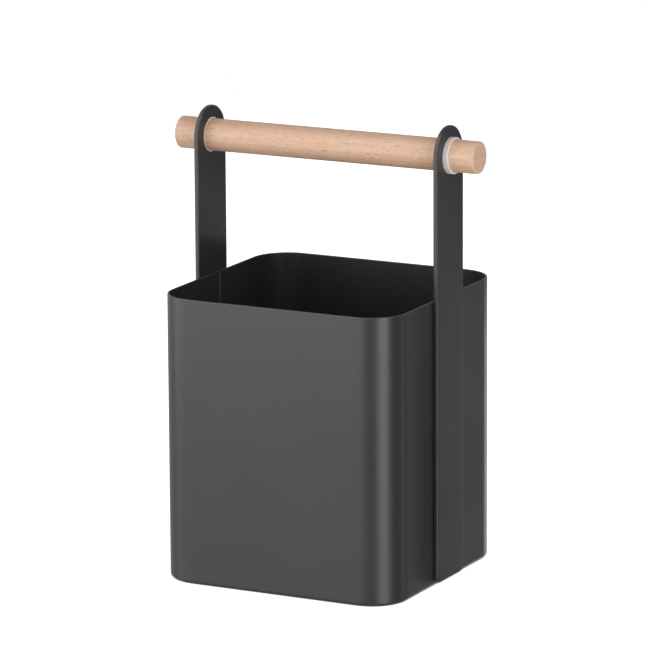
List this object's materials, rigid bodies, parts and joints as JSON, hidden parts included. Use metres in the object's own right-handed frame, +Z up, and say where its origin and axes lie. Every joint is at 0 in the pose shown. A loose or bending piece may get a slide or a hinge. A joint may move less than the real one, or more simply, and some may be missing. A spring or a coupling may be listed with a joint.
{
  "type": "cutlery caddy",
  "caption": "Open-topped coated steel box for cutlery, with two flat side straps that carry a round wooden bar as a handle.",
  "frame": {"origin": "on the table, under the middle of the box", "axes": "+X along the handle bar to the right, -Y towards the front, +Z up"},
  "size_m": [0.1428, 0.108, 0.1987],
  "materials": {
    "coated_steel": "fine matte dark grey powder coat",
    "beech": "pale straight-grained wood, lightly oiled",
    "soft_ring": "milky translucent soft plastic"
  },
  "bodies": {
    "caddy": {"body_shell": "coated_steel", "base_plate": "coated_steel", "seam_weld": "coated_steel", "left_strap": "coated_steel", "right_strap": "coated_steel", "left_ring": "soft_ring", "right_ring": "soft_ring"},
    "handle": {"handle_bar": "beech"}
  },
  "joints": [
    {"name": "handle_spin", "type": "hinge", "parent": "caddy", "child": "handle", "pos_m": [0, 0, 0.186], "axis": [1, 0, 0], "continuous": true}
  ]
}
